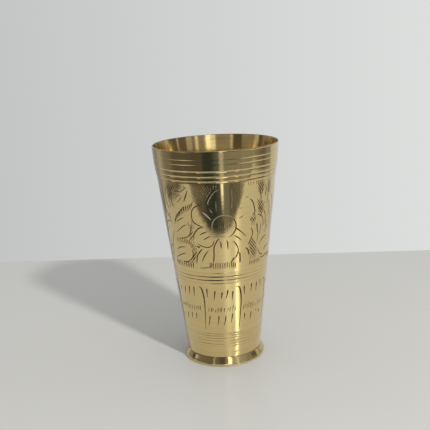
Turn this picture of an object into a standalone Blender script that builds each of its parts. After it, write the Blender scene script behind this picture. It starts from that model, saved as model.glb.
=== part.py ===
"""Engraved brass lassi tumbler: a tapering spun wall on a turned, flared foot ring, with a brazed-in floor.

Units are metres, +Z is up, and the origin is on the tumbler's axis in the plane it stands on.
The wall, the foot ring, the floor and the two brazed fillets are separate bodies, all turned about Z.
A section is a list of (radius, height) points that runs once round the body's cut face.
"""

import math

import bmesh
import bpy

MM = 0.001

# Driving dimensions
HEIGHT = 170.0 * MM
RIM_RADIUS = 48.1 * MM
GROUND_RADIUS = 28.65 * MM  # where the wall's outer cone would meet the ground
WALL_THICKNESS = 1.0 * MM
FOOT_RADIUS = 32.2 * MM
FOOT_WIDEST_HEIGHT = 1.2 * MM
EDGE_ROUND_ABOVE = 1.6 * MM  # height of the edge's rounding above the widest point
SOLE_RADIUS = 31.4 * MM
BORE_RADIUS = 26.0 * MM
BORE_CHAMFER = 0.8 * MM
SHOULDER_HEIGHT = 6.9 * MM  # the foot ring's shoulder carries the wall
SHOULDER_LEDGE = 0.15 * MM  # how far the shoulder stands proud of the wall
SPIGOT_HEIGHT = 2.4 * MM
FLOOR_THICKNESS = 1.4 * MM
BRAZE_LEG = 1.8 * MM
GAP = 0.3 * MM  # clearance between neighbouring bodies

# The rim band leans out less than the cone and makes up for it in outward steps
BAND_BOTTOM = 146.6 * MM
BAND_LEAN = math.radians(3.5)
STEP_WIDTH = 0.8 * MM
STEP_SHARES = {148.2 * MM: 0.34, 151.6 * MM: 0.32, 155.5 * MM: 0.20, 160.3 * MM: 0.07, 163.7 * MM: 0.07}

# Turned line grooves, by height above the ground
WAIST_GROOVES = [70.6 * MM, 73.7 * MM, 76.8 * MM]
LOWER_GROOVES = [18.9 * MM, 21.5 * MM, 24.2 * MM, 27.0 * MM]
GROOVE_WIDTH = 1.3 * MM
GROOVE_DEPTH = 0.22 * MM

SEGMENTS = 72
SHARP_ANGLE = math.radians(12)

# Heights that follow from the driving dimensions
WALL_BOTTOM = SHOULDER_HEIGHT + GAP
SPIGOT_TOP = SHOULDER_HEIGHT + SPIGOT_HEIGHT
FLOOR_BOTTOM = SPIGOT_TOP + GAP
FLOOR_TOP = FLOOR_BOTTOM + FLOOR_THICKNESS


def outer_radius(z):
    """Radius of the wall's plain outer cone at height z."""
    return GROUND_RADIUS + (RIM_RADIUS - GROUND_RADIUS) * z / HEIGHT


def inner_radius(z):
    """Radius of the wall's inner cone at height z, below the rim band."""
    return outer_radius(z) - WALL_THICKNESS


def band_outline():
    """The stepped outside of the rim band, from its bottom up to just under the lip."""
    start = outer_radius(BAND_BOTTOM)
    lean = math.tan(BAND_LEAN)
    rise = RIM_RADIUS - start - lean * (HEIGHT - BAND_BOTTOM)
    outline = [(start, BAND_BOTTOM)]
    stepped = 0.0
    for z, share in STEP_SHARES.items():
        for side in (-1, 1):
            height = z + side * STEP_WIDTH / 2
            outline.append((start + lean * (height - BAND_BOTTOM) + stepped, height))
            stepped += rise * share if side < 0 else 0.0
    return outline


def brass(name, color, roughness):
    """A brass surface of one colour and polish."""
    material = bpy.data.materials.new(name)
    material.use_nodes = True
    shader = material.node_tree.nodes["Principled BSDF"]
    shader.inputs["Base Color"].default_value = (*color, 1.0)
    shader.inputs["Metallic"].default_value = 1.0
    shader.inputs["Roughness"].default_value = roughness
    return material


def arc(centre, radius, start, end, steps):
    """Points on an arc in the section plane, with angles in degrees from outwards towards up."""
    angles = [math.radians(start + (end - start) * i / steps) for i in range(steps + 1)]
    return [(centre[0] + radius * math.cos(a), centre[1] + radius * math.sin(a)) for a in angles]


def groove(z):
    """A V-shaped line groove turned into the wall's outside at height z, top edge first."""
    top = z + GROOVE_WIDTH / 2
    bottom = z - GROOVE_WIDTH / 2
    root = outer_radius(z) - GROOVE_DEPTH
    return [(outer_radius(top), top), (root, z), (outer_radius(bottom), bottom)]


def wall_section():
    """Down the stepped band and the grooved outside, up the inside, and back over the rounded lip."""
    lip_radius = WALL_THICKNESS / 2
    lip_centre = (RIM_RADIUS - lip_radius, HEIGHT - lip_radius)
    section = arc(lip_centre, lip_radius, 180.0, 0.0, 6)
    section += reversed(band_outline())
    for z in sorted(WAIST_GROOVES + LOWER_GROOVES, reverse=True):
        section += groove(z)
    section.append((outer_radius(WALL_BOTTOM), WALL_BOTTOM))
    section.append((inner_radius(WALL_BOTTOM), WALL_BOTTOM))
    section += [(radius - WALL_THICKNESS, z) for radius, z in band_outline()]
    return section


def foot_section():
    """Down the flare and the rounded edge, in along the sole, and up the bore to the spigot."""
    section = [(outer_radius(SHOULDER_HEIGHT) + SHOULDER_LEDGE, SHOULDER_HEIGHT)]
    edge_width = FOOT_RADIUS - SOLE_RADIUS
    for x, y in arc((0.0, 0.0), 1.0, 60.0, -90.0, 6):
        drop = EDGE_ROUND_ABOVE if y > 0 else FOOT_WIDEST_HEIGHT
        section.append((SOLE_RADIUS + edge_width * x, FOOT_WIDEST_HEIGHT + drop * y))
    section.append((BORE_RADIUS + BORE_CHAMFER, 0.0))
    section.append((BORE_RADIUS, BORE_CHAMFER))
    section.append((BORE_RADIUS, SPIGOT_TOP))
    section.append((inner_radius(SPIGOT_TOP) - GAP, SPIGOT_TOP))
    section.append((inner_radius(SHOULDER_HEIGHT) - GAP, SHOULDER_HEIGHT))
    return section


def braze_section(corner, up):
    """A fillet in a corner that opens towards the axis: up is 1 above a floor and -1 under one."""
    centre = (corner[0] - BRAZE_LEG, corner[1] + up * BRAZE_LEG)
    hollow = arc(centre, BRAZE_LEG, -90.0 * up, 0.0, 5)
    return hollow + [corner]


def finish(name, mesh, material):
    """Turns a bmesh into a named, smooth-shaded object of one material."""
    data = bpy.data.meshes.new(name)
    mesh.to_mesh(data)
    mesh.free()
    data.shade_smooth()
    data.set_sharp_from_angle(angle=SHARP_ANGLE)
    data.materials.append(material)
    body = bpy.data.objects.new(name, data)
    bpy.context.collection.objects.link(body)


def turn(name, section, material):
    """Spins a section once round Z into one ring-shaped body."""
    mesh = bmesh.new()
    points = [mesh.verts.new((radius, 0.0, z)) for radius, z in section]
    edges = [mesh.edges.new(pair) for pair in zip(points, points[1:] + points[:1])]
    bmesh.ops.spin(
        mesh, geom=points + edges, cent=(0, 0, 0), axis=(0, 0, 1),
        angle=math.tau, steps=SEGMENTS, use_merge=True,
    )
    bmesh.ops.recalc_face_normals(mesh, faces=mesh.faces)
    finish(name, mesh, material)


def make_floor(material):
    """The closing disc, whose edge is tapered to follow the wall's inside."""
    mesh = bmesh.new()
    bmesh.ops.create_cone(
        mesh, cap_ends=True, segments=SEGMENTS, depth=FLOOR_THICKNESS,
        radius1=inner_radius(FLOOR_BOTTOM) - GAP, radius2=inner_radius(FLOOR_TOP) - GAP,
    )
    middle = (FLOOR_BOTTOM + FLOOR_TOP) / 2
    bmesh.ops.translate(mesh, verts=mesh.verts, vec=(0.0, 0.0, middle))
    finish("floor_disc", mesh, material)


def main():
    for leftover in list(bpy.data.objects):
        bpy.data.objects.remove(leftover)
    polished = brass("polished_brass", (0.80, 0.60, 0.25), 0.14)
    inside = brass("spun_brass", (0.74, 0.54, 0.22), 0.28)
    filler = brass("brazing_brass", (0.66, 0.50, 0.24), 0.42)
    turn("body_shell", wall_section(), polished)
    turn("foot_ring", foot_section(), polished)
    make_floor(inside)
    floor_corner = (inner_radius(FLOOR_TOP) - GAP, FLOOR_TOP + GAP)
    turn("floor_braze", braze_section(floor_corner, 1), filler)
    foot_corner = (BORE_RADIUS - GAP, SPIGOT_TOP)
    turn("foot_braze", braze_section(foot_corner, -1), filler)


main()
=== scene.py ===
import math
import random
from math import atan, cos, exp, hypot, pi, radians, sin, tan, tau

import bpy
import numpy as np
from mathutils import Matrix, Vector
from mathutils.geometry import delaunay_2d_cdt


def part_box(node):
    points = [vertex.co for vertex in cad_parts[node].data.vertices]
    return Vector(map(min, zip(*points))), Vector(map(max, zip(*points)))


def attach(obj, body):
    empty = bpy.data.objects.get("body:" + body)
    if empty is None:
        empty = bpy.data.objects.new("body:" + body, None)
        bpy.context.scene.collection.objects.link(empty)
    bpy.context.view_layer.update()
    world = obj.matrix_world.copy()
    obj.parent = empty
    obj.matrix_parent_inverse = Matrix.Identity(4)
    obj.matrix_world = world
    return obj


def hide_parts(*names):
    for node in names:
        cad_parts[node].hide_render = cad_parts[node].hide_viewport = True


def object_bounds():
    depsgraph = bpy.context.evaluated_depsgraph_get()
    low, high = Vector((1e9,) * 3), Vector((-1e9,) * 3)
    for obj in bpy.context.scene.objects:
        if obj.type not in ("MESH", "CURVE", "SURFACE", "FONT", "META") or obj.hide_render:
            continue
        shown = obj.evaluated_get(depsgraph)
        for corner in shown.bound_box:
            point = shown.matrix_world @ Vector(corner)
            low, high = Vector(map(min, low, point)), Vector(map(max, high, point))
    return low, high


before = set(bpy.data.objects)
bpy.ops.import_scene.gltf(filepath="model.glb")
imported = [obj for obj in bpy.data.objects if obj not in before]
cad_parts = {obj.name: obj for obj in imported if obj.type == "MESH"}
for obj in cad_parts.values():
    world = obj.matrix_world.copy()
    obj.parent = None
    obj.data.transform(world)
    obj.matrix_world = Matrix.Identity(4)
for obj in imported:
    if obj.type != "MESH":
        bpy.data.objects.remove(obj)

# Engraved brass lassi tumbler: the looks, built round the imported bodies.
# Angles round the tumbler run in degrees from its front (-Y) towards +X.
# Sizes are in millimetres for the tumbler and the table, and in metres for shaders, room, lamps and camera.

MM = 0.001
cad_low, cad_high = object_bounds()

# -------- sizes, from the frame
HEIGHT = cad_high.z / MM
RIM_RADIUS = cad_high.x / MM
FOOT_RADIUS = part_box("foot_ring")[1].x / MM
FLOOR_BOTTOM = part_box("floor_disc")[0].z / MM
FLOOR_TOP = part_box("floor_disc")[1].z / MM
FLOOR_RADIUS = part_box("floor_disc")[1].x / MM
WALL_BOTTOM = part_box("body_shell")[0].z / MM
SPIGOT_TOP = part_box("foot_ring")[1].z / MM
GAP = FLOOR_BOTTOM - SPIGOT_TOP
SHOULDER = WALL_BOTTOM - GAP
WALL = 1.0
FOOT_BORE = 26.0
OUTER_AT_FLOOR = FLOOR_RADIUS + GAP + WALL
CONE = (RIM_RADIUS - OUTER_AT_FLOOR) / (HEIGHT - FLOOR_TOP)

COLUMNS = 180  # facets round the axis
SEAM = -84.0  # where the unrolled bands begin and end, between two repeats of the frieze
POLISHED, CUT, INSIDE = 0, 1, 2  # material slots of the wall

# turned lines
BAND_BOTTOM = 146.6
BAND_SLOPE = tan(radians(3.5))  # lean of the stepped band under the rim
CONE_AT_BAND = OUTER_AT_FLOOR + CONE * (BAND_BOTTOM - FLOOR_TOP)
BAND_RISE = RIM_RADIUS - CONE_AT_BAND - BAND_SLOPE * (HEIGHT - BAND_BOTTOM)
BAND_STEPS = {148.2: 0.36, 151.6: 0.33, 155.5: 0.21, 160.3: 0.05, 163.7: 0.05}  # share of the rise by height
STEP_WIDTH = 0.36
STEP_SHARPNESS = 3.2
STEP_DIP = 0.45  # undercut below a step, as a share of its rise
STEP_DIP_BELOW = 1.3  # how far below the step its undercut is, in step widths
WAIST_LINES = {70.2: 0.15, 72.8: 0.24, 75.6: 0.23, 78.5: 0.11}  # depth by height
WAIST_WIDTH = 0.85
LOWER_LINES = {
    10.9: 0.09, 16.5: 0.12, 18.6: 0.17, 19.9: 0.10, 21.4: 0.17, 23.6: 0.15, 25.7: 0.17, 27.5: 0.15,
}
LOWER_WIDTH = 0.33

# the inside, which has its own lean near the mouth
MOUTH_SLOPE = tan(radians(9.5))
MOUTH_DEPTH = 13.0


def cone(z):
    """Radius of the plain outer cone at height z."""
    return OUTER_AT_FLOOR + CONE * (z - FLOOR_TOP)


def outer(z):
    """Radius of the turned outside at height z, with its stepped rim band and line grooves."""
    if z <= BAND_BOTTOM:
        radius = cone(z)
        for lines, width in ((WAIST_LINES, WAIST_WIDTH), (LOWER_LINES, LOWER_WIDTH)):
            for height, depth in lines.items():
                radius -= depth * exp(-(((z - height) / width) ** 2))
        return radius
    radius = cone(BAND_BOTTOM) + BAND_SLOPE * (z - BAND_BOTTOM)
    for height, share in BAND_STEPS.items():
        t = (z - height) / STEP_WIDTH
        radius += BAND_RISE * share / (1 + exp(-STEP_SHARPNESS * t))
        radius -= BAND_RISE * share * STEP_DIP * exp(-((t + STEP_DIP_BELOW) ** 2))
    return radius


def inner(z):
    """Radius of the wall's inside at height z. Below the mouth its lean blends back to the cone's."""
    depth = HEIGHT - z
    if depth < MOUTH_DEPTH:
        return RIM_RADIUS - WALL - MOUTH_SLOPE * depth
    extra = (CONE - MOUTH_SLOPE) * MOUTH_DEPTH
    return cone(z) - WALL + extra * max(0.0, 2.0 - depth / MOUTH_DEPTH)


# -------- mesh building
COLUMN_ANGLES = [SEAM + 360 * j / COLUMNS for j in range(COLUMNS)]
SHARP_ANGLE = 30.0  # corners of a section that turn by more than this stay sharp


def put(name, data):
    """A new object in the scene."""
    made = bpy.data.objects.new(name, data)
    bpy.context.collection.objects.link(made)
    return made


def new_mesh(name, verts, faces):
    mesh = bpy.data.meshes.new(name)
    mesh.from_pydata(verts, [], faces)
    return mesh


class Shape:
    """Collects vertices, faces, a normal for each face corner and a material slot for each face."""

    def __init__(self):
        self.verts = []
        self.faces = []
        self.normals = []
        self.slots = []

    def face(self, corners, normals, slot=0):
        self.faces.append(corners)
        self.normals.extend(normals)
        self.slots.append(slot)

    def build(self, name, materials):
        mesh = new_mesh(name, [tuple(c * MM for c in v) for v in self.verts], self.faces)
        mesh.polygons.foreach_set("material_index", self.slots)
        mesh.polygons.foreach_set("use_smooth", [True] * len(self.faces))
        if self.normals:
            mesh.normals_split_custom_set(self.normals)
        for material in materials:
            mesh.materials.append(material)
        return put(name, mesh)


def around(radius, z, degrees):
    """The point at a radius, a height and an angle from the front."""
    a = radians(degrees)
    return (radius * sin(a), -radius * cos(a), z)


def section_normals(points):
    """For each segment of a closed section, its outward normal at its start and at its end."""
    count = len(points)
    flat = []
    for i in range(count):
        (r0, z0), (r1, z1) = points[i], points[(i + 1) % count]
        length = hypot(r1 - r0, z1 - z0)
        flat.append(((z0 - z1) / length, (r1 - r0) / length, length))
    made = []
    for i in range(count):
        ends = []
        for other in (i - 1, (i + 1) % count):
            a, b = flat[i], flat[other]
            if a[0] * b[0] + a[1] * b[1] < cos(radians(SHARP_ANGLE)):
                ends.append(a[:2])
                continue
            n = (a[0] * b[2] + b[0] * a[2], a[1] * b[2] + b[1] * a[2])
            size = hypot(*n)
            ends.append((n[0] / size, n[1] / size))
        made.append(ends)
    return made


def turn(shape, points, skip=(), slots=None):
    """Turns a closed section about Z. The section runs down the outside, so that (dz, -dr) points out."""
    base = len(shape.verts)
    count = len(points)
    for radius, z in points:
        for a in COLUMN_ANGLES:
            shape.verts.append(around(radius, z, a))
    normals = section_normals(points)
    spin = [(sin(radians(a)), -cos(radians(a))) for a in COLUMN_ANGLES]
    for i in range(count):
        if i in skip:
            continue
        k = (i + 1) % count
        (top_r, top_z), (low_r, low_z) = normals[i]
        slot = slots[i] if slots else 0
        top, low = base + i * COLUMNS, base + k * COLUMNS
        for j in range(COLUMNS):
            m = (j + 1) % COLUMNS
            sides = ((top_r, top_z, j), (low_r, low_z, j), (low_r, low_z, m), (top_r, top_z, m))
            facing = [(r * spin[c][0], r * spin[c][1], z) for r, z, c in sides]
            shape.face((top + j, low + j, low + m, top + m), facing, slot)
    return base


# -------- engraving
GRAVER_SLOPE = 0.8  # depth of a cut for each millimetre of half width
WIDEN = 1.12  # how much wider a worn cut is than its first line
EDGE_MARGIN = 0.6  # strokes stay this far inside their band
CUT_FLOOR = 0.004  # a face is part of a cut where its middle is deeper than this
FINEST = 0.07  # least half width of a cut
ROW_GAP = 3.3  # distance between a band's rows of plain points
WELD = 1e-4  # points nearer than this are joined
ON_EDGE = 0.01  # points nearer than this to the band's edge belong to it
ON_COLUMN = 1e-3  # the same for columns, as a share of a column
FRIEZE = (80.2, 146.4)
PANELS = (29.6, 69.0)


def smooth_path(points, spacing):
    """A Catmull-Rom curve through the points, in millimetres, resampled evenly."""
    pts = [Vector(p) for p in points]
    if len(pts) == 2:
        count = max(2, int((pts[1] - pts[0]).length / spacing) + 1)
        return [pts[0].lerp(pts[1], i / (count - 1)) for i in range(count)]
    pts = [2 * pts[0] - pts[1]] + pts + [2 * pts[-1] - pts[-2]]
    path = []
    for i in range(1, len(pts) - 2):
        p0, p1, p2, p3 = pts[i - 1:i + 3]
        count = max(1, round((p2 - p1).length / spacing))
        for k in range(count):
            t = k / count
            path.append(0.5 * (
                2 * p1 + (p2 - p0) * t + (2 * p0 - 5 * p1 + 4 * p2 - p3) * t * t
                + (3 * p1 - p0 - 3 * p2 + p3) * t ** 3
            ))
    path.append(pts[-2])
    return path


def taper(kind, s):
    """Share of a stroke's full width at share s of its length."""
    if kind == "line":
        return min(1.0, 6 * s + 0.25, 6 * (1 - s) + 0.25)
    if kind == "comma":
        return (1 - 0.72 * s) * min(1.0, 5 * s + 0.6)
    if kind == "nick":
        return min(1.0, 4 * s + 0.6) * (1 - 0.6 * s)
    if kind == "swell":
        return sin(pi * (0.04 + 0.92 * s)) ** 0.7
    return min(1.0, 7 * s + 0.3) * (1 - 0.72 * s)  # an upright, heaviest at its hooked top


class Engraving:
    """Strokes cut into one band of the wall, kept as (path, half widths) in unrolled millimetres."""

    def __init__(self, low, high):
        self.low, self.high = low, high
        self.per_degree = cone((low + high) / 2) * pi / 180
        self.strokes = []

    def stroke(self, points, width=0.8, kind="line", shift=0.0, spacing=1.3):
        """Adds a stroke through (degrees, height) points, unless it would leave the band."""
        turns = 360 * math.floor((points[0][0] + shift - SEAM) / 360)
        unrolled = [((a + shift - turns - SEAM) * self.per_degree, z) for a, z in points]
        path = smooth_path(unrolled, spacing)
        right = 360 * self.per_degree - EDGE_MARGIN
        low, high = self.low + EDGE_MARGIN, self.high - EDGE_MARGIN
        if any(not EDGE_MARGIN < p.x < right or not low < p.y < high for p in path):
            return
        last = len(path) - 1
        widths = [max(FINEST, WIDEN * width / 2 * taper(kind, i / last)) for i in range(last + 1)]
        self.strokes.append((path, widths))

    def depth(self, xy):
        """Depth of the cuts at an array of unrolled points."""
        deep = np.zeros(len(xy))
        for path, widths in self.strokes:
            p = np.array([(v.x, v.y) for v in path])
            w = np.array(widths)
            low, high = p.min(0) - w.max(), p.max(0) + w.max()
            near = np.nonzero(((xy > low) & (xy < high)).all(1))[0]
            if not len(near):
                continue
            q = xy[near]
            best = np.zeros(len(near))
            for i in range(len(p) - 1):
                d = p[i + 1] - p[i]
                t = np.clip((q - p[i]) @ d / (d @ d), 0, 1)
                away = np.hypot(*(q - p[i] - t[:, None] * d).T)
                best = np.maximum(best, GRAVER_SLOPE * (w[i] + t * (w[i + 1] - w[i]) - away))
            deep[near] = np.maximum(deep[near], best)
        return deep

    def outline(self, path, widths):
        """The two sides of a stroke as one closed ring of points."""
        left, right = [], []
        for i, p in enumerate(path):
            along = path[min(i + 1, len(path) - 1)] - path[max(i - 1, 0)]
            side = Vector((-along.y, along.x)).normalized() * widths[i]
            left.append(p + side)
            right.append(p - side)
        start = path[0] - (path[1] - path[0]).normalized() * widths[0]
        end = path[-1] + (path[-1] - path[-2]).normalized() * widths[-1]
        return [start] + left + [end] + right[::-1]

    def cut(self, shape, top_ring, bottom_ring):
        """Triangulates the band with its strokes and adds it to the shape between two turned rings."""
        points, edges, seam_at = [], [], {}
        across = COLUMNS + 1
        rows = round((self.high - self.low) / ROW_GAP)
        for k in range(rows + 1):
            z = self.low + (self.high - self.low) * k / rows
            for j in range(across):
                points.append(Vector((360 * self.per_degree * j / COLUMNS, z)))
        for k in (0, rows):
            edges += [(k * across + j, k * across + j + 1) for j in range(COLUMNS)]
        for k in range(rows):
            edges += [(k * across + j, (k + 1) * across + j) for j in (0, COLUMNS)]
        for path, widths in self.strokes:
            ring = self.outline(path, widths)
            first = len(points)
            points += ring
            edges += [(first + i, first + (i + 1) % len(ring)) for i in range(len(ring))]
            first = len(points)
            points += path
            edges += [(first + i, first + i + 1) for i in range(len(path) - 1)]
        coords, _, faces, _, _, _ = delaunay_2d_cdt(points, edges, [], 0, WELD, False)
        xy = np.array([(v.x, v.y) for v in coords])
        deep = self.depth(xy)
        at_bottom, at_top = xy[:, 1] < self.low + ON_EDGE, xy[:, 1] > self.high - ON_EDGE
        deep[at_bottom | at_top] = 0
        index, twins = {}, {}
        tilt = atan(CONE)
        for i, (x, z) in enumerate(xy):
            column = x / self.per_degree * COLUMNS / 360
            on_column = abs(column - round(column)) < ON_COLUMN
            if on_column and at_top[i]:
                index[i] = top_ring + round(column) % COLUMNS
            elif on_column and at_bottom[i]:
                index[i] = bottom_ring + round(column) % COLUMNS
            elif COLUMNS - column < ON_COLUMN:
                twins[i] = round(z, 3)
            else:
                index[i] = len(shape.verts)
                shape.verts.append(around(cone(z) - deep[i], z, SEAM + x / self.per_degree))
                if column < ON_COLUMN:
                    seam_at[round(z, 3)] = index[i]
        for i, z in twins.items():
            index[i] = seam_at[z]
        tris = np.array([f for f in faces if len(f) == 3])
        is_cut = self.depth(xy[tris].mean(1)) > CUT_FLOOR
        for tri, groove in zip(tris, is_cut):
            corners = tuple(index[i] for i in tri)
            if groove:
                a, b, c = (Vector(shape.verts[i]) for i in corners)
                flat = (b - a).cross(c - a).normalized()
                shape.face(corners, [tuple(flat)] * 3, CUT)
                continue
            smooth = []
            for x in xy[tri, 0]:
                a = radians(SEAM + x / self.per_degree)
                smooth.append((cos(tilt) * sin(a), -cos(tilt) * cos(a), -sin(tilt)))
            shape.face(corners, smooth, POLISHED)


# One flower of the frieze, as (kind, width, points). Its round centre is drawn apart.
FLOWER_CENTRE = (5.2, 114.3)
FLOWER_RADIUS = 8.75
DISC_ARC = range(-116, 161, 23)  # the circle's angles, from its top towards +X
DISC_CUTS = 7
FLOWER = [
    # bottom petal
    ("line", 0.75, [(-0.3, 105.5), (-2.5, 104), (-4, 102), (-6.3, 98), (-6.7, 92), (-7.8, 86)]),
    ("line", 0.75, [(13.2, 103), (15, 102), (18.5, 98.5), (19.6, 95), (18, 91.2), (14.8, 88.5)]),
    ("comma", 1.3, [(14.5, 89.4), (13.2, 87.6), (11, 86.4)]),
    ("swell", 0.8, [(0, 103.7), (1.1, 102), (1.2, 98.8), (2, 97.5)]),
    ("swell", 0.8, [(7.2, 104), (8.2, 101.8), (8.3, 96.7)]),
    # left petal
    ("line", 0.7, [(-15.5, 113.8), (-20, 113.6), (-24, 111), (-26.7, 108), (-27.3, 104.5)]),
    ("line", 0.6, [(-24, 101), (-14.5, 98.7), (-8.5, 99.8), (-6.2, 102.5), (-5.6, 104.5)]),
    ("swell", 0.8, [(-20.3, 108), (-17.5, 109.3), (-12, 111)]),
    ("swell", 0.75, [(-16.7, 104.4), (-13.5, 105.8), (-9.3, 107.6)]),
    ("comma", 1.5, [(-21.6, 98.8), (-23.2, 98.5), (-25.4, 99.4)]),
    # lower left leaf
    ("line", 0.8, [(-18.7, 97.3), (-21, 95.8), (-25, 92), (-26.7, 87.5), (-27, 85.0)]),
    ("swell", 0.8, [(-12.2, 96.3), (-14.5, 94.4), (-18, 90.7), (-20.5, 86.8)]),
    ("line", 0.45, [(-24, 82), (-17, 82.3), (-12, 83.3), (-8, 85.8)]),
    # upper left petal
    ("line", 0.7, [(-15, 114.5), (-22, 116), (-26, 118.5), (-27.2, 122), (-26.3, 126), (-23.5, 129),
                   (-18, 130.9), (-13.5, 131.2)]),
    ("swell", 1.0, [(-15.5, 125.6), (-13.5, 124.7), (-11, 123), (-7.3, 119.8)]),
    ("swell", 0.8, [(-15.3, 119.2), (-13.5, 118), (-11.2, 116.9)]),
    # top petal
    ("line", 0.7, [(-9.2, 131), (-9.3, 133), (-7, 136.3), (-3, 140.3), (1, 142)]),
    ("line", 0.5, [(12.9, 141.6), (13.3, 134), (12.8, 127)]),
    ("swell", 0.7, [(-8.2, 128), (-7, 126.5), (-5.7, 125)]),
    ("swell", 0.4, [(-1.9, 134), (-1.9, 126.5)]),
    # right upper petal
    ("comma", 0.8, [(27.5, 134.8), (29.7, 134.7)]),
    ("line", 0.8, [(32, 133), (35.5, 130.2), (37.8, 125), (38.5, 122.8), (38, 120.5)]),
    ("comma", 0.7, [(23, 127.4), (21.8, 126.6)]),
    ("swell", 0.45, [(20, 119.5), (22.5, 120.3), (25, 121.5)]),
    ("line", 0.6, [(17.5, 131), (16.5, 128), (15.8, 123)]),
    # right petal
    ("comma", 1.0, [(16.6, 112.9), (18.6, 111.7), (21.5, 110), (28.3, 105)]),
    ("swell", 0.8, [(15, 107), (17, 106.3), (19.5, 104.9), (23.3, 102.3)]),
    ("line", 0.7, [(34.3, 111), (36.5, 107.5), (37, 105.8), (35, 102.8), (32.5, 99.3), (30.5, 97.8)]),
    # lower right leaf
    ("line", 0.9, [(28, 96), (29.5, 95.5), (32, 93), (33, 89.5)]),
    ("line", 0.9, [(19.6, 93.3), (21.4, 92.6), (21.7, 89), (21.8, 84.7)]),
]

# The leaves to the flower's left, from its stem at the repeat's edge.
LEFT_LEAVES = [
    ("line", 0.6, [(-47, 120.5), (-43.5, 122.5), (-40, 125.7), (-37, 127.5), (-34, 129.8)]),
    ("swell", 0.65, [(-48.5, 115.8), (-45.5, 117.3), (-42.5, 118.8), (-36.3, 120.8)]),
    ("swell", 0.6, [(-50, 108), (-46.5, 109.7), (-39.5, 113.5), (-33, 115.8)]),
    ("line", 0.6, [(-47, 103.8), (-39, 104.6), (-34, 106.4), (-30.5, 110), (-27.8, 116.5)]),
    ("swell", 0.65, [(-54, 94), (-51, 95), (-48, 96.3), (-39, 97.6)]),
    ("swell", 0.65, [(-58.5, 87), (-55, 88), (-48, 90.5), (-40, 92.6)]),
    ("line", 0.7, [(-31.5, 95.5), (-30.3, 93.7), (-31, 91), (-34, 88), (-39.5, 85.6), (-45, 85.3)]),
    ("swell", 0.8, [(-28.5, 141.8), (-29.3, 140.3), (-32.5, 135), (-34.5, 132.5)]),
    ("line", 0.45, [(-45, 139.5), (-42, 140.6), (-37, 140), (-34, 141.5), (-29, 144)]),
    ("swell", 0.45, [(-43, 131.5), (-39, 134), (-35.5, 137)]),
    ("swell", 0.45, [(-44.5, 134.5), (-40, 137.2), (-36.5, 138.8)]),
    ("swell", 0.5, [(-56, 113), (-58, 119), (-58.6, 124)]),
    ("line", 0.6, [(-55, 109), (-55.5, 107), (-57, 104.5), (-60, 101), (-63, 94), (-64.5, 85)]),
    ("line", 0.6, [(-49.3, 128.3), (-50.5, 132), (-50, 135.5), (-47.5, 139)]),
    ("line", 0.6, [(-58, 126.5), (-60.5, 131), (-60, 137), (-57.5, 143)]),
    ("line", 0.6, [(-56.5, 118), (-62, 121), (-68.5, 126), (-72.5, 132), (-74, 140)]),
    ("swell", 0.6, [(-60.5, 118.5), (-64.5, 124), (-66.5, 131), (-66.8, 139)]),
    ("line", 0.6, [(-57.5, 115.5), (-64, 115), (-71, 112), (-77, 106), (-80.5, 98)]),
    ("swell", 0.6, [(-62.5, 111.5), (-68, 108.5), (-72.5, 103), (-75, 96)]),
    ("line", 0.6, [(-62, 97), (-68, 94.5), (-75, 88.5), (-79.5, 85)]),
    ("swell", 0.6, [(-66, 90.5), (-70.5, 87.6), (-74, 85.2)]),
    ("line", 0.55, [(-81, 143), (-78.5, 138), (-78.8, 131), (-81.5, 124)]),
]

# The leaves to the flower's right.
RIGHT_LEAVES = [
    ("line", 0.7, [(42.5, 119.8), (46.5, 118.8), (50.5, 116.5), (51.8, 113.5), (52.5, 109)]),
    ("comma", 1.1, [(42, 112.8), (42.5, 110.5), (43, 108.5), (44.5, 104.5), (43.6, 98.8)]),
    ("line", 0.7, [(52, 122.5), (53, 120.5), (55.3, 117.5), (56, 112.3), (56.5, 109.7)]),
    ("comma", 0.9, [(44.7, 125.8), (43.7, 123.2)]),
    ("comma", 0.9, [(48.8, 124.4), (48.2, 122.4)]),
    ("comma", 0.9, [(51.8, 128.4), (51.3, 126.3)]),
    ("line", 0.6, [(60.5, 128.7), (61.5, 126.5), (62.8, 121.2), (61, 115)]),
    ("line", 0.7, [(52, 142), (53, 139.5), (53.5, 137.5), (52.5, 132)]),
    ("line", 0.7, [(51, 84.8), (54.5, 84.5), (59.5, 85), (70, 86.3)]),
    ("swell", 0.5, [(56.3, 103), (58, 108), (58.5, 114)]),
    ("swell", 0.5, [(46.8, 103.5), (48, 108.5), (48.6, 113)]),
    ("swell", 0.5, [(56.6, 125), (57.6, 130), (56.8, 136)]),
    ("swell", 0.65, [(56, 90), (58, 91), (62.5, 92.5), (65, 93.5)]),
    ("swell", 0.7, [(47.5, 96), (50.5, 98.5), (54.5, 100.3), (60, 101)]),
    ("line", 0.6, [(45.5, 92.5), (50, 88), (55, 86.6)]),
    ("line", 0.6, [(47, 131), (44.5, 136), (43.5, 142)]),
    ("swell", 0.5, [(48, 134), (47.5, 138.5), (48.3, 142.5)]),
    ("line", 0.6, [(66, 96), (71, 100), (74.5, 106), (75.5, 112)]),
    ("line", 0.6, [(66, 104), (70.5, 111), (72, 119), (70, 127), (65, 133)]),
    ("swell", 0.6, [(64, 107.5), (66.5, 115), (66.3, 123)]),
    ("line", 0.6, [(76, 116), (80.5, 122), (82.5, 130), (81, 139)]),
    ("swell", 0.6, [(76, 122), (77.8, 129), (76.5, 136)]),
    ("line", 0.6, [(72, 92), (79, 96), (84.5, 103), (87.5, 111)]),
    ("swell", 0.6, [(77, 91.5), (82.5, 95), (86.5, 100)]),
    ("line", 0.6, [(85.5, 143), (88.5, 136), (90.5, 127), (91, 118)]),
    ("line", 0.6, [(76, 86.5), (83, 86.6), (90, 88.8), (93.5, 93)]),
]

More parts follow.
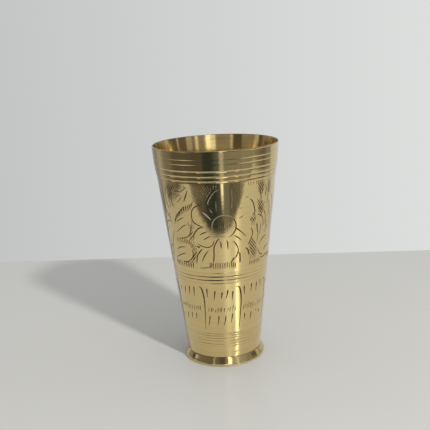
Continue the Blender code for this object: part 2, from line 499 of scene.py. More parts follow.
# Cross-hatched grounds: corners, then the cuts' spacing, slope (millimetres a degree) and width.
GROUNDS = [
    ([(-33.5, 119), (-27, 114.5), (-26.8, 110), (-28, 104), (-27.4, 101), (-34, 103.5), (-31, 110)],
     2.5, 0.85, 0.74),
    ([(-35.5, 103), (-26.8, 100.8), (-24.4, 96.5), (-27, 90), (-29, 85.6), (-35, 86.2), (-30, 93.5)],
     2.5, 0.85, 0.74),
    ([(-27.5, 122), (-24, 116), (-26.6, 111.5), (-29, 118)], 2.2, 0.85, 0.7),
    ([(31, 100), (35, 104), (38.5, 102), (42.5, 97), (45.5, 91), (42.5, 86.2), (33, 85.4), (33.8, 91)],
     2.5, -0.8, 0.58),
    ([(33, 119.2), (37.4, 122.2), (40.6, 119), (39.4, 112.6), (34.4, 112.8)], 2.4, -0.8, 0.7),
    ([(-24, 132.5), (-13, 133.5), (-8.5, 137.5), (-4, 142), (-9, 145.8), (-24, 145.8), (-25, 138)],
     2.8, 1.2, 0.44),
    ([(14.5, 145.8), (24.5, 145.8), (24, 136), (21, 129), (16, 127), (14.6, 137)], 2.8, -1.2, 0.44),
    ([(-57, 145.6), (-37, 145.6), (-39, 143), (-47, 140.6), (-50.5, 136), (-52, 128), (-56, 125)],
     2.5, 0.9, 0.66),
    ([(39, 145.6), (52, 145.6), (50.5, 137), (45, 133), (41.5, 137)], 2.5, -0.9, 0.6),
    ([(54.5, 145.6), (62, 145.6), (62.5, 134), (58, 131), (55.5, 136)], 2.5, -0.9, 0.6),
    ([(40.5, 131.5), (47, 132.5), (53, 124), (49.5, 117.5), (43.5, 119)], 2.5, -0.9, 0.6),
]
FRIEZE_MARGIN = 1.2  # the back's moved points stay this far inside the band
CROSSING = 0.7  # width of the crossing cuts, as a share of the first set's
HATCH_SAMPLES = 60  # places tried along each line of hatching
SHORTEST_RUN = 4  # samples that a line has to be inside its region to be cut
UNEVEN = (0.85, 1.15)  # how far a hand's cuts vary in width and spacing

# Rows of short upright cuts: first and last angle, gap, height of feet and of tops, lean and width.
FRINGES = [
    (-12, 11, 1.95, 81.8, 86.4, 0.4, 0.8),
    (12.4, 18, 2.1, 81.9, 86.2, -0.5, 1.0),
    (-58, -29, 3.3, 81.6, 85.6, 0.2, 1.25),
    (34, 50, 2.5, 81.7, 85.3, 0.5, 0.85),
    (66, 92, 2.8, 82.0, 85.4, 0.7, 0.7),
    (-82, -66, 2.8, 81.7, 84.4, 0.7, 0.7),
    (-11, 1, 2.4, 142.5, 145.7, 0.3, 0.75),
    (-38.5, -30.5, 2.4, 142.7, 145.2, -0.6, 0.75),
    (30, 50, 3.0, 143.2, 145.5, -0.6, 0.55),
]

# Single cuts: each set's places, where a cut starts and ends from its place, its width and its kind.
LEAF_EDGE = [
    (-50.4, 117.4), (-48.3, 119.7), (-46, 121.7), (-43.6, 123.2), (-41.3, 124.6), (-38.9, 125.9),
    (-36.3, 126.9), (-33.6, 128.3), (-31.1, 129.0), (-28.7, 129.9), (-26.4, 131.2),
]
LEAF_FOOT = [(a, 103.6) for a in (-51, -48.2, -45.3, -42.4, -39.5, -37.4, -35.4, -33.1)]
BETWEEN_LEAVES = [(-58.3, 127.3), (-48.8, 129.6), (33.7, 117.6), (37.4, 121.4), (39.3, 117.9), (60, 109)]
ABOVE_PETAL = [(-19.5 + 3.1 * k, 144.6) for k in range(4)]
SINGLE_CUTS = [
    (LEAF_EDGE, (1.7, 1.7), (-0.8, -3.4), 0.85, "nick"),
    (LEAF_FOOT, (-0.5, 0), (0.4, -3.4), 0.8, "nick"),
    (BETWEEN_LEAVES, (-0.5, 0), (0.6, -1.7), 1.1, "comma"),
    (ABOVE_PETAL, (-2.4, 0), (0.6, -7.6), 0.42, "swell"),
]


def inside(corners, a, z):
    """Whether a point is inside a polygon."""
    odd = False
    for (a0, z0), (a1, z1) in zip(corners, corners[1:] + corners[:1]):
        if (z0 > z) != (z1 > z) and a < a0 + (z - z0) * (a1 - a0) / (z1 - z0):
            odd = not odd
    return odd


def hatch(band, corners, spacing, slope, width, shift, vary):
    """Fills a polygon with straight cuts and a lighter crossing set."""
    low_a, high_a = min(c[0] for c in corners), max(c[0] for c in corners)
    low_z, high_z = min(c[1] for c in corners), max(c[1] for c in corners)
    for lean, wide in ((slope, width), (-slope, CROSSING * width)):
        reach = abs(slope) * (high_a - low_a)
        start = low_z - reach
        while start < high_z + reach:
            run = []
            for k in range(HATCH_SAMPLES + 1):
                a = low_a + (high_a - low_a) * k / (HATCH_SAMPLES - 1)
                z = start + lean * (a - (low_a if lean > 0 else high_a))
                if k < HATCH_SAMPLES and inside(corners, a, z):
                    run.append((a, z))
                    continue
                if len(run) >= SHORTEST_RUN:
                    band.stroke([run[0], run[-1]], wide * vary(*UNEVEN), "line", shift, spacing=3.0)
                run = []
            start += spacing * vary(*UNEVEN)


def fringe(band, start, end, gap, low, high, lean, width, shift, vary):
    """A row of short upright cuts between two angles."""
    a = start
    while a < end:
        tall = (high - low) * vary(0.85, 1.08)
        tip = a + lean * vary(0.7, 1.3)
        wide = width * vary(*UNEVEN)
        band.stroke([(tip, low + tall), (a, low)], wide, "nick", shift, spacing=1.6)
        a += gap * vary(0.9, 1.1)


def engrave_disc(band, shift):
    """The flower's round centre: an open circle with a row of short cuts across it."""
    centre_a, centre_z = FLOWER_CENTRE
    turn_a = FLOWER_RADIUS / band.per_degree
    circle = []
    for t in DISC_ARC:
        across, up = sin(radians(t)), cos(radians(t))
        circle.append((centre_a + turn_a * across, centre_z + FLOWER_RADIUS * up))
    band.stroke(circle, 0.75, "line", shift)
    for k in range(DISC_CUTS):
        from_middle = abs(k - DISC_CUTS // 2)
        a = centre_a - 5.4 + 1.9 * k
        tall = 2.6 - 0.22 * from_middle
        top = centre_z + 1.4 - 0.25 * from_middle
        band.stroke([(a, top), (a + 0.2, top - tall)], 0.5, "swell", shift)


def engrave_frieze(vary):
    """The upper band: the same flower and leaves at the front and at the back, where they vary a little."""
    band = Engraving(*FRIEZE)
    lowest, highest = FRIEZE[0] + FRIEZE_MARGIN, FRIEZE[1] - FRIEZE_MARGIN
    for shift, loose in ((0, 0.0), (180, 0.5)):
        engrave_disc(band, shift)
        for kind, width, points in FLOWER + LEFT_LEAVES + RIGHT_LEAVES:
            da, dz = vary(-loose, loose), vary(-loose, loose)
            moved = [(a + da, min(max(z + dz, lowest), highest)) for a, z in points]
            band.stroke(moved, width * vary(0.93, 1.07), kind, shift)
        for ground in GROUNDS:
            hatch(band, *ground, shift, vary)
        for row in FRINGES:
            fringe(band, *row, shift, vary)
        for places, start, end, width, kind in SINGLE_CUTS:
            for a, z in places:
                points = [(a + start[0], z + start[1]), (a + end[0], z + end[1])]
                band.stroke(points, width, kind, shift)
    return band


# The lower band's panels: an upright at each panel's left, commas above, ticks between and strokes below.
# Angles run from the upright, and each stroke is its head, its middle and its tail.
UPRIGHT = [
    (-4.9, 66.2), (-3.2, 66.1), (-1.4, 65), (-0.3, 62.2), (0.6, 58), (0.8, 52), (0.2, 45), (-0.4, 39),
    (-1.6, 31),
]
COMMAS = [
    [(5.4, 65.2, -0.2, 59), (15.1, 63.6, -1.8, 57), (23.6, 62.3, -1.5, 57.8), (30.8, 64.2, -3.2, 57.2),
     (36.6, 62.7, -1.0, 56.1)],
    [(6.3, 65.4, 0.8, 59.2), (17.2, 66.1, -1.0, 60.3), (26, 65.6, -1.2, 59.8), (32.8, 66.6, 1.2, 61.2)],
    [(9.5, 63.4, -0.8, 60.2), (17.7, 63.9, -1.4, 58.8), (25.8, 65.2, -1.8, 59.2), (33, 65.6, -1.2, 58.6)],
]
STROKES = [
    [(6.4, 42.5, -2.9, 34.8), (18.3, 42.7, -2.4, 35.2), (27.3, 42.2, -3.1, 35.2), (36.1, 44.2, -2.6, 37.2)],
    [(8, 42.6, 0.4, 38.2), (18.4, 42.2, -1.0, 36.4), (27.8, 42.2, 1.3, 41.2), (34.2, 41.6, 1.4, 39.0)],
    [(8, 40.8, -1, 38.6), (16, 42.2, -2.5, 37.3), (24, 43.2, -1.2, 38.8), (31.8, 43.5, -1.3, 38.8)],
]
TICKS = [5.4, 8.1, 10.8, 13.6, 16.9, 19.4, 22.1, 25.2, 29.2, 32.8, 35.9, 38.6]
UPRIGHT_SHIFTS = [0.0, 1.6, 0.7, 0.0, -0.6, 0.3, -0.4, 0.0]  # the panels were spaced by eye
PANEL_COUNT = 8
FIRST_UPRIGHT = -23.6
ORDER = [0, 1, 2, 0, 1, 0, 1, 2]  # which arrangement each panel follows
IN_VIEW = (0, 1, 7)  # these panels face the front and the others vary a little
UPRIGHT_CUT, COMMA_CUT, STROKE_CUT = 1.1, 1.05, 0.95  # widths
TAIL = 0.6  # how far commas and strokes run on below their last point
TICK_FOOT = 45.8


def engrave_panels(vary):
    """The lower band: eight panels of uprights, commas, ticks and strokes."""
    band = Engraving(*PANELS)
    for panel, arrangement in enumerate(ORDER):
        left = FIRST_UPRIGHT + 360 / PANEL_COUNT * panel
        loose = 0.0 if panel in IN_VIEW else 0.7
        band.stroke([(left + a + UPRIGHT_SHIFTS[panel], z) for a, z in UPRIGHT], UPRIGHT_CUT, "upright")
        for group, width in ((COMMAS, COMMA_CUT), (STROKES, STROKE_CUT)):
            for a, top, lean, bottom in group[arrangement]:
                bottom -= TAIL
                a += left + vary(-loose, loose)
                top += vary(-loose, loose)
                middle = (a + lean * 0.35, (top + bottom) / 2)
                band.stroke([(a, top), middle, (a + lean, bottom)], width, "comma")
        for tick in TICKS:
            a = left + tick + vary(-0.4, 0.4)
            low = TICK_FOOT + vary(-0.4, 1.0)
            tall = vary(2.4, 4.2)
            tip = a + vary(0.5, 1.5)
            band.stroke([(tip, low + tall), (a, low)], vary(0.44, 0.72), "nick")
    return band


# -------- materials
class Nodes:
    """Short forms for building the node tree of a material or a world."""

    def __init__(self, owner, shader="Principled BSDF"):
        self.owner = owner
        owner.use_nodes = True
        self.tree = owner.node_tree
        self.shader = self.tree.nodes[shader]

    def set(self, name, value):
        """Gives the shader one uniform value."""
        self.shader.inputs[name].default_value = value

    def add(self, kind, **inputs):
        """A new node, with a value or a link for each named input."""
        made = self.tree.nodes.new(kind)
        for key, value in inputs.items():
            self.feed(value, made.inputs[key])
        return made

    def feed(self, value, socket):
        """Links another node's output to a socket, or sets the socket's own value."""
        if isinstance(value, bpy.types.NodeSocket):
            self.tree.links.new(value, socket)
        elif isinstance(value, tuple) and len(socket.default_value) == 4:
            socket.default_value = (*value, 1.0)
        else:
            socket.default_value = value

    def calc(self, operation, a, b=0.0, clamp=False):
        made = self.tree.nodes.new("ShaderNodeMath")
        made.operation = operation
        made.use_clamp = clamp
        self.feed(a, made.inputs[0])
        self.feed(b, made.inputs[1])
        return made.outputs[0]

    def noise(self, where, scale, detail, one_way=False):
        made = self.add("ShaderNodeTexNoise", Scale=scale, Detail=detail, Roughness=0.6)
        made.noise_dimensions = "1D" if one_way else "3D"
        self.tree.links.new(where, made.inputs["W" if one_way else "Vector"])
        return made.outputs[0]

    def ramp(self, source, low, high, start, end):
        """Runs from start to end as the source runs from low to high."""
        made = self.tree.nodes.new("ShaderNodeMapRange")
        for key, value in enumerate((source, low, high, start, end)):
            self.feed(value, made.inputs[key])
        return made.outputs[0]

    def mix(self, a, b, share):
        made = self.tree.nodes.new("ShaderNodeMix")
        made.data_type = "RGBA"
        for key, value in ((0, share), (6, a), (7, b)):
            self.feed(value, made.inputs[key])
        return made.outputs[2]


# How stains tint the metal's colour; the last tint dims the cuts' painted highlight over the whole arch.
TARNISH = (0.86, 0.80, 0.66)
SPECK = (0.62, 0.52, 0.40)
HALF_PAINTED_HIGHLIGHT = (0.58, 0.52, 0.38)

# Noise scales in cycles a metre.
FINE_TURNING, BROAD_TURNING, CLOUDS, SPECKS, DENTS = 2600.0, 420.0, 55.0, 900.0, 75.0
BUMP_DEPTH = 0.00002

# Where the cuts get a painted highlight, standing in for the light they catch: above an arch, between a
# leaning left side and a right side, and in front.
ARCH_TOP, ARCH_BEND, ARCH_BLUR = 0.107, 87.5, 0.004
LEFT_FOOT, LEFT_LEAN, LEFT_BLUR = 0.155, 0.46, 0.002
RIGHT_SIDE = (0.0098, 0.0112)
FRONT = (-0.02, -0.03)
PAINTED_HIGHLIGHT_ROUGHER = 0.15


def shade(color, tint):
    return tuple(c * k for c, k in zip(color, tint))


def brass(name, color, roughness, grain=1.0, patina=0.35, anisotropy=0.0, lacquer=0.0, painted_highlight=None):
    """Brass with turning lines, cloudy tarnish, specks and a slightly uneven polish.

    Its last argument is a painted highlight: a lighter colour for the cuts on the front above the flower's
    centre, standing in for the light they catch there.
    """
    n = Nodes(bpy.data.materials.new(name))
    n.set("Metallic", 1.0)
    n.set("Anisotropic", anisotropy)
    n.set("Anisotropic Rotation", 0.25 if anisotropy else 0.0)
    n.set("Coat Weight", lacquer)
    n.set("Coat Roughness", roughness)
    place = n.add("ShaderNodeTexCoord").outputs["Object"]
    parts = n.add("ShaderNodeSeparateXYZ", Vector=place)
    height = parts.outputs["Z"]
    fine = n.noise(height, FINE_TURNING, 2.0, one_way=True)
    broad = n.noise(height, BROAD_TURNING, 3.0, one_way=True)
    clouds = n.noise(place, CLOUDS, 5.0)
    specks = n.noise(place, SPECKS, 2.0)
    tone = n.mix(color, shade(color, TARNISH), n.ramp(clouds, 0.42, 0.78, 0.0, patina))
    tone = n.mix(tone, shade(color, TARNISH), n.ramp(broad, 0.45, 0.8, 0.0, patina * 0.8))
    tone = n.mix(tone, shade(color, SPECK), n.ramp(specks, 0.66, 0.78, 0.0, patina))
    rough = n.ramp(clouds, 0.35, 0.75, roughness * 0.88, roughness * 1.22)
    rough = n.calc("ADD", rough, n.ramp(broad, 0.3, 0.7, 0.0, roughness * 0.2))
    # A painted highlight on the cuts: dimmer over the arch in front, and full between its leaning left side
    # and its right side.
    if painted_highlight:
        across = parts.outputs["X"]
        bend = n.calc("MULTIPLY", n.calc("MULTIPLY", across, across), ARCH_BEND)
        above = n.calc("SUBTRACT", n.calc("SUBTRACT", height, ARCH_TOP), bend)
        left = n.calc("MULTIPLY", n.calc("SUBTRACT", height, LEFT_FOOT), LEFT_LEAN)
        front = n.ramp(parts.outputs["Y"], *FRONT, 0.0, 1.0)
        share = n.calc("MULTIPLY", n.calc("DIVIDE", above, ARCH_BLUR, clamp=True), front)
        tone = n.mix(tone, shade(painted_highlight, HALF_PAINTED_HIGHLIGHT), share)
        past_left = n.calc("DIVIDE", n.calc("SUBTRACT", across, left), LEFT_BLUR, clamp=True)
        share = n.calc("MULTIPLY", share, past_left)
        share = n.calc("MULTIPLY", share, n.ramp(across, *RIGHT_SIDE, 1.0, 0.0))
        tone = n.mix(tone, painted_highlight, share)
        rough = n.calc("ADD", rough, n.calc("MULTIPLY", share, PAINTED_HIGHLIGHT_ROUGHER))
    n.feed(tone, n.shader.inputs["Base Color"])
    n.feed(rough, n.shader.inputs["Roughness"])
    dents = n.noise(place, DENTS, 2.0)
    marks = n.calc("ADD", n.calc("MULTIPLY", fine, 0.5), broad)
    relief = n.calc("ADD", n.calc("MULTIPLY", marks, grain), n.calc("MULTIPLY", dents, 4.5))
    bump = n.add("ShaderNodeBump", Strength=0.35, Distance=BUMP_DEPTH, Height=relief)
    n.feed(bump.outputs[0], n.shader.inputs["Normal"])
    return n.owner


polished = brass("polished_brass", (0.75, 0.585, 0.265), 0.075, anisotropy=0.3, lacquer=0.8)
# The cuts are dark, with a painted highlight on those in front.
cut_brass = brass("cut_brass", (0.105, 0.072, 0.034), 0.30, patina=0.8, painted_highlight=(0.70, 0.62, 0.45))
spun = brass("spun_brass", (0.76, 0.585, 0.27), 0.13, grain=1.5, patina=0.5, anisotropy=0.9)
filler = brass("brazing_brass", (0.62, 0.46, 0.22), 0.42, patina=0.9, grain=3.0)


# -------- the tumbler
def steps(start, end, pitch):
    """Heights from start towards end, without end, at most pitch apart."""
    count = max(1, math.ceil(abs(end - start) / pitch - 1e-6))
    return [start + (end - start) * i / count for i in range(count)]


def arc(centre, radius, start, end, count):
    """Points on an arc in the section plane, in degrees from outwards towards up."""
    angles = [radians(start + (end - start) * i / count) for i in range(count + 1)]
    return [(centre[0] + radius * cos(a), centre[1] + radius * sin(a)) for a in angles]


ENGRAVING_SEED = 11


def make_wall():
    """The spun wall: turned lines, two engraved bands, rounded lip and plain inside, as one closed body."""
    lip = WALL / 2
    lip_steps = 10
    foot_end = WALL_BOTTOM - GAP * 0.6
    steps_top, lines_bottom, mouth_low = 165.4, 10.0, 140.0
    rim_pitch, band_pitch, waist_pitch, lower_pitch, foot_pitch = 0.8, 0.17, 0.19, 0.14, 1.0
    inside_pitch, mouth_pitch = 6.0, 2.5
    heights = steps(HEIGHT - lip - 0.2, steps_top, rim_pitch) + steps(steps_top, FRIEZE[1], band_pitch)
    heights += [FRIEZE[1]] + steps(FRIEZE[0], PANELS[1], waist_pitch)
    heights += [PANELS[1]] + steps(PANELS[0], lines_bottom, lower_pitch)
    heights += steps(lines_bottom, foot_end, foot_pitch) + [foot_end]
    section = [(outer(z), z) for z in heights]
    inside_heights = steps(foot_end, mouth_low, inside_pitch)
    inside_heights += steps(mouth_low, HEIGHT - lip - 0.4, mouth_pitch)
    section += [(inner(z), z) for z in inside_heights]
    section += arc((RIM_RADIUS - lip, HEIGHT - lip), lip, 180.0, 0.0, lip_steps)
    frieze_top, panels_top = heights.index(FRIEZE[1]), heights.index(PANELS[1])
    first_inside, lip_top = len(heights), len(section) - lip_steps // 2 - 1
    slots = [INSIDE if first_inside <= i < lip_top else POLISHED for i in range(len(section))]
    shape = Shape()
    base = turn(shape, section, skip=(frieze_top, panels_top), slots=slots)
    vary = random.Random(ENGRAVING_SEED).uniform
    for band, top in ((engrave_frieze(vary), frieze_top), (engrave_panels(vary), panels_top)):
        band.cut(shape, base + top * COLUMNS, base + (top + 1) * COLUMNS)
    return shape.build("tumbler_wall", [polished, cut_brass, spun])


def make_foot():
    """The turned foot ring: flare, rounded edge, grooved sole, bore and spigot."""
    widest = 1.2  # height of the widest place
    edge_above, edge_in = 1.6, 0.8  # how far the edge's rounding reaches up from there, and inwards
    chamfer = 0.8
    groove_width, groove_depth = 0.5, 0.12
    ledge = cone(SHOULDER) + 0.15  # the foot stands out a little past the wall
    section = [(ledge - 0.12, SHOULDER), (ledge, SHOULDER - 0.15)]
    edge = arc((0, 0), 1.0, 60.0, -90.0, 18)  # a round edge of radius 1, stretched below to its size
    start = (FOOT_RADIUS - edge_in + edge_in * edge[0][0], widest + edge_above * edge[0][1])
    for t in (0.25, 0.5, 0.75):
        section.append(tuple(a + (b - a) * t for a, b in zip(section[1], start)))
    for x, y in edge:
        section.append((FOOT_RADIUS - edge_in + edge_in * x, widest + (edge_above if y > 0 else widest) * y))
    for radius in (30.2, 28.6):
        section += [(radius, 0.0), (radius - groove_width / 2, groove_depth), (radius - groove_width, 0.0)]
    section += [(FOOT_BORE + chamfer, 0.0), (FOOT_BORE, chamfer)]
    section += [(FOOT_BORE, z) for z in steps(chamfer, SPIGOT_TOP, 1.5)[1:] + [SPIGOT_TOP]]
    section += [(inner(SPIGOT_TOP) - GAP, SPIGOT_TOP), (inner(SHOULDER) - GAP, SHOULDER)]
    shape = Shape()
    turn(shape, section)
    return shape.build("foot", [polished])


def make_floor():
    """The closing disc, with the shallow rings its turning left and a small centre mark."""
    first_ring, ring_pitch, ring_half, ring_depth = 4.0, 2.6, 0.35, 0.07
    plain_rim = 1.2
    mark_radius, mark_slope, mark_centre = 1.5, 0.12, 0.05
    chamfer_in, chamfer_down = 0.25, 0.2
    marks = [(radius, mark_slope * max(0.0, mark_radius - radius)) for radius in (0.6, 1.2, 1.8)]
    r = first_ring
    while r < FLOOR_RADIUS - plain_rim:
        marks += [(r - ring_half, 0.0), (r, ring_depth), (r + ring_half, 0.0)]
        r += ring_pitch
    top = [(radius, FLOOR_TOP - dip) for radius, dip in marks]
    low_edge = FLOOR_RADIUS - CONE * (FLOOR_TOP - FLOOR_BOTTOM)
    section = top + [(FLOOR_RADIUS - chamfer_in, FLOOR_TOP), (FLOOR_RADIUS, FLOOR_TOP - chamfer_down)]
    section += [(low_edge, FLOOR_BOTTOM + chamfer_down), (low_edge - chamfer_in, FLOOR_BOTTOM)]
    section += [(radius, FLOOR_BOTTOM + (FLOOR_TOP - z)) for radius, z in reversed(top)]
    shape = Shape()
    base = turn(shape, section, skip=(len(section) - 1,))
    for ring, up in ((0, 1), (len(section) - 1, -1)):
        centre = len(shape.verts)
        shape.verts.append((0.0, 0.0, section[ring][1] - up * mark_centre))
        for j in range(COLUMNS):
            k = (j + 1) % COLUMNS
            pair = (base + ring * COLUMNS + j, base + ring * COLUMNS + k)
            corners = (*pair, centre) if up > 0 else (pair[1], pair[0], centre)
            shape.face(corners, [(0, 0, up)] * 3)
    return shape.build("floor", [spun])


BEAD_LEG = 1.8
BEAD_WAVES = (3, 5, 8, 13, 21, 34)  # waves round the axis
BEAD_SHORT = 0.12  # share by which a bead falls short of its leg on average
BEAD_BITE = 0.05  # how far a bead's corner is from the walls' own corner


def make_bead(name, corner, up, seed):
    """A brazed fillet in a corner that opens towards the axis, uneven as filler metal sets."""
    vary = random.Random(seed).uniform
    waves = [(n, vary(0, tau), vary(0.02, 0.06)) for n in BEAD_WAVES]
    shape = Shape()
    count = 8
    for a in COLUMN_ANGLES:
        swell = sum(h * sin(n * radians(a) + p) for n, p, h in waves)
        size = BEAD_LEG * (1 + swell - BEAD_SHORT)
        centre = (corner[0] - size, corner[1] + up * size)
        for r, z in arc(centre, size, -90.0 * up, 0.0, count - 2) + [corner]:
            shape.verts.append(around(r, z, a))
    for j in range(COLUMNS):
        m = (j + 1) % COLUMNS
        for i in range(count):
            k = (i + 1) % count
            corners = (j * count + i, j * count + k, m * count + k, m * count + i)
            shape.face(corners if up < 0 else corners[::-1], [])
    return shape.build(name, [filler])


floor_corner = (inner(FLOOR_TOP) - BEAD_BITE, FLOOR_TOP + BEAD_BITE)
foot_corner = (FOOT_BORE - BEAD_BITE, SPIGOT_TOP)
PIECES = [
    (make_wall(), "body_shell", "polished_brass"),
    (make_foot(), "foot_ring", "polished_brass"),
    (make_floor(), "floor_disc", "spun_brass"),
    (make_bead("floor_bead", floor_corner, 1, 5), "floor_braze", "brazing_brass"),
    (make_bead("foot_bead", foot_corner, -1, 6), "foot_braze", "brazing_brass"),
]
for piece, node_name, slot_name in PIECES:
    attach(piece, "root")
    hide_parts(node_name)


# -------- table, surroundings and light
def painted_light(name):
    """A glowing material in the colours that its mesh is painted with."""
    n = Nodes(bpy.data.materials.new(name))
    n.tree.nodes.clear()
    paint = n.add("ShaderNodeAttribute")
    paint.attribute_name = "glow"
    glow = n.add("ShaderNodeEmission", Color=paint.outputs["Color"], Strength=1.0)
    n.add("ShaderNodeOutputMaterial", Surface=glow.outputs[0])
    return n.owner


def make_table():
    """A pale slab that ends a little in front of the tumbler, so that the dark room shows in the brass."""
    front, left, right, thick = -236.0, -385.0, 590.0, 30.0
    back_left, back_right = 277.0, 216.0
    corners = [(left, front), (right, front), (right, back_right), (left, back_left)]
    verts = [(x * MM, y * MM, z * MM) for z in (0.0, -thick) for x, y in corners]
    faces = [(0, 1, 2, 3)] + [(i, i + 4, (i + 1) % 4 + 4, (i + 1) % 4) for i in range(4)]
    mesh = new_mesh("table", verts, faces)
    n = Nodes(bpy.data.materials.new("painted_table"))
    n.set("Roughness", 0.27)
    n.set("IOR", 1.45)
    place = n.add("ShaderNodeTexCoord").outputs["Object"]
    tone = n.mix((0.618, 0.614, 0.600), (0.590, 0.585, 0.570), n.noise(place, 14.0, 6.0))
    n.feed(tone, n.shader.inputs["Base Color"])
    mesh.materials.append(n.owner)
    return put("table", mesh)


# What the brass mirrors: brightness by bearing from the front towards +X, blended between stops.
BACK_RIGHT = {97: 0.13, 104: 0.24, 114: 0.26, 121: 0.6, 180: 0.62}  # part of both lowest layers
DEEP = {
    -180: 0.4, -138: 0.24, -128: 0.44, -120: 0.44, -116: 0.34, -108: 0.27, -55: 0.27, -45: 0.12, -27: 0.09,
    -22: 0.05, -5: 0.045, 0: 0.075, 6: 0.09, 8: 1.7, 11: 1.7, 12: 0.22, 22: 0.2, 25: 0.12, 45: 0.15,
    49: 0.34, 72: 0.32, 84: 0.2, **BACK_RIGHT,
}
BELOW = {
    -180: 0.4, -138: 0.24, -128: 0.38, -120: 0.4, -116: 0.32, -108: 0.22, -92: 0.18, -84: 0.11, -62: 0.11,
    -40: 0.09, -27: 0.09, -22: 0.05, -9: 0.05, -3: 0.11, 4: 0.16, 7: 0.5, 12: 0.5, 15: 0.24, 24: 0.27,
    45: 0.27, 49: 0.3, 72: 0.28, 84: 0.2, **BACK_RIGHT,
}
LEVEL = {
    -180: 0.45, -140: 0.45, -133: 0.2, -131: 0.6, -127: 0.6, -125: 0.3, -108: 0.24, -102: 0.07, -96: 0.06,
    -94: 0.55, -86: 0.55, -84: 0.24, -56: 0.3, -54: 0.07, -37: 0.07, -35: 0.8, -32: 0.8, -30: 0.36, -2: 0.4,
    0: 1.4, 17: 1.4, 19: 0.2, 33: 0.2, 35: 0.95, 39: 0.95, 41: 0.16, 46: 0.16, 48: 0.5, 58: 0.46, 60: 0.1,
    77: 0.1, 78: 0.6, 80: 0.6, 81: 0.1, 101: 0.12, 103: 0.52, 113: 0.52, 116: 0.24, 120: 0.36, 180: 0.45,
}
HIGH = {
    -180: 0.35, -128: 0.35, -100: 0.2, -90: 0.17, -60: 0.16, -42: 0.14, -37: 0.14, -35: 0.42, -32: 0.42,
    -30: 0.16, -20: 0.15, -16: 0.1, -3: 0.1, 2: 0.22, 8: 0.3, 10.5: 1.9, 19: 1.9, 22: 0.42, 33: 0.45,
    35: 0.72, 40: 0.72, 44: 0.42, 60: 0.34, 80: 0.26, 100: 0.24, 112: 0.26, 124: 0.35, 180: 0.35,
}
# Those layers by elevation. The lowest runs on straight down, and overhead the room is even.
ROOM = {-90: DEEP, -22: DEEP, -19: BELOW, -2: BELOW, 2: LEVEL, 13: LEVEL, 18: HIGH, 62: HIGH}
OVERHEAD = {74: 0.35, 90: 0.35}

# Steeply down, the bright streak ends: it is nearly dark on its left and dim on its right.
STREAK_END = -24.3
STREAK_LEFT, STREAK_MIDDLE, STREAK_RIGHT = 5, 11.5, 22
STREAK_DARK, STREAK_DIM = 0.05, 0.20

# Dim places are tinted warm, but cool under the horizon in front and, less so, lower down on the right.
TINTED_UNDER = 0.4
TINT_RED, TINT_BLUE = 0.10, 0.04
COOL_LEFT, COOL_MIDDLE, COOL_RIGHT = -27, 4, 26
COOL_TOP, COOL_SHARE = 0, -2.5
RIGHT_TOP, RIGHT_SHARE = -12, -0.6


def stop_value(stops, place):
    """The value at a place between stops, which are values by place in order."""
    pairs = list(stops.items())
    for (a0, v0), (a1, v1) in zip(pairs, pairs[1:]):
        if a0 <= place <= a1:
            return v0 + (v1 - v0) * (place - a0) / (a1 - a0)
    return pairs[-1][1]


def surroundings(bearing, elevation):
    """Colour of the room as the brass mirrors it."""
    layers = {level: stop_value(stops, bearing) for level, stops in ROOM.items()}
    value = stop_value({**layers, **OVERHEAD}, elevation)
    if elevation < STREAK_END and STREAK_LEFT < bearing < STREAK_RIGHT:
        value = STREAK_DARK if bearing < STREAK_MIDDLE else STREAK_DIM
    warmth = 1.0 - min(1.0, value / TINTED_UNDER)
    if COOL_LEFT < bearing < COOL_MIDDLE and elevation < COOL_TOP:
        warmth *= COOL_SHARE
    elif COOL_MIDDLE <= bearing < COOL_RIGHT and elevation < RIGHT_TOP:
        warmth *= RIGHT_SHARE
    return value * (1 + TINT_RED * warmth), value, value * (1 - TINT_BLUE * warmth)


def make_dome():
    """The room round the table, seen only in reflections."""
    radius, middle, across, down = 3.0, 0.1, 360, 120
    verts, faces, colours = [], [], []
    for i in range(down + 1):
        elevation = 90 - 180 * i / down
        for j in range(across):
            bearing = -180 + 360 * j / across
            x, y, _ = around(cos(radians(elevation)) * radius, 0.0, bearing)
            verts.append((x, y, middle + radius * sin(radians(elevation))))
            colours.extend((*surroundings(bearing, elevation), 1.0))
    for i in range(down):
        for j in range(across):
            k = (j + 1) % across
            faces.append((i * across + j, i * across + k, (i + 1) * across + k, (i + 1) * across + j))
    mesh = new_mesh("room", verts, faces)
    glow = mesh.color_attributes.new("glow", "FLOAT_COLOR", "POINT")
    glow.data.foreach_set("color", colours)
    mesh.materials.append(painted_light("room_light"))
    dome = put("room", mesh)
    for ray in ("camera", "diffuse", "transmission", "volume_scatter", "shadow"):
        setattr(dome, "visible_" + ray, False)
    return dome


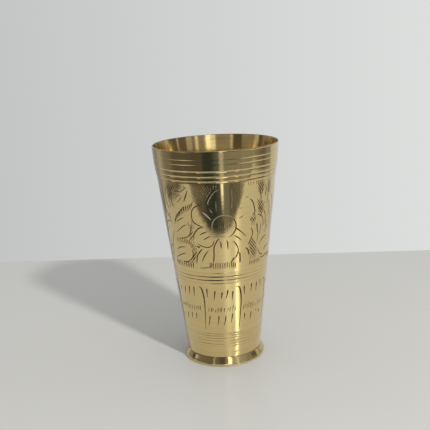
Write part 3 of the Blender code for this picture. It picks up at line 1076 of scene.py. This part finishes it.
def make_world():
    """A pale wall behind the table, brighter to the right, that the brass doesn't mirror."""
    left_edge, right_edge = -0.32, 0.32
    left_tint, right_tint = (0.545, 0.557, 0.552), (0.725, 0.740, 0.728)
    world = bpy.data.worlds.new("studio")
    bpy.context.scene.world = world
    n = Nodes(world, "Background")
    place = n.add("ShaderNodeTexCoord").outputs["Generated"]
    across = n.add("ShaderNodeSeparateXYZ", Vector=place).outputs["X"]
    tint = n.mix(left_tint, right_tint, n.ramp(across, left_edge, right_edge, 0.0, 1.0))
    n.feed(tint, n.shader.inputs["Color"])
    world.cycles_visibility.glossy = False


def make_lamp(name, bearing, size, energy, color):
    """A round lamp up behind the viewer, aimed at the tumbler's middle."""
    distance, elevation = 2.5, radians(34.0)
    lamp = bpy.data.lights.new(name, "AREA")
    lamp.shape = "DISK"
    lamp.size = size
    lamp.energy = energy
    lamp.color = color
    made = put(name, lamp)
    towards = Vector(around(distance * cos(elevation), distance * sin(elevation), bearing))
    made.location = towards + Vector((0, 0, HEIGHT * MM / 2))
    made.rotation_mode = "QUATERNION"
    made.rotation_quaternion = towards.to_track_quat("Z", "Y")
    return made


def make_camera():
    """The camera, half a metre in front and a little above the rim."""
    in_front, above = 0.50334, 0.23791
    yaw, pitch, roll = -0.0053, 0.2432, -0.048
    forward = Vector((sin(yaw) * cos(pitch), cos(yaw) * cos(pitch), -sin(pitch)))
    level = Vector((cos(yaw), -sin(yaw), 0))
    upright = level.cross(forward)
    right = level * cos(roll) + upright * sin(roll)
    up = upright * cos(roll) - level * sin(roll)
    data = bpy.data.cameras.new("camera")
    data.sensor_width = 36.0
    data.lens = 55.846
    camera = put("camera", data)
    camera.matrix_world = Matrix((
        (right.x, up.x, -forward.x, 0.0), (right.y, up.y, -forward.y, -in_front),
        (right.z, up.z, -forward.z, above), (0, 0, 0, 1),
    ))
    bpy.context.scene.camera = camera


table = make_table()
make_dome()
make_world()
# One lamp lights everything but shows in no gloss. The other two show in the table's gloss and nowhere else:
# a small one as an upright streak and a wide one as a pale band.
make_lamp("key", 36.2, 0.2, 43.0, (1.0, 0.97, 0.92)).visible_glossy = False
glossy_table = bpy.data.collections.new("glossy_table")
glossy_table.objects.link(table)
for shine in (
    make_lamp("glint", 40.8, 0.09, 24.0, (0.96, 1.0, 0.84)),
    make_lamp("sheen", 18.0, 0.8, 7.5, (0.97, 1.0, 0.9)),
):
    shine.visible_diffuse = False
    shine.light_linking.receiver_collection = glossy_table
make_camera()
bpy.context.scene.view_settings.view_transform = "Standard"
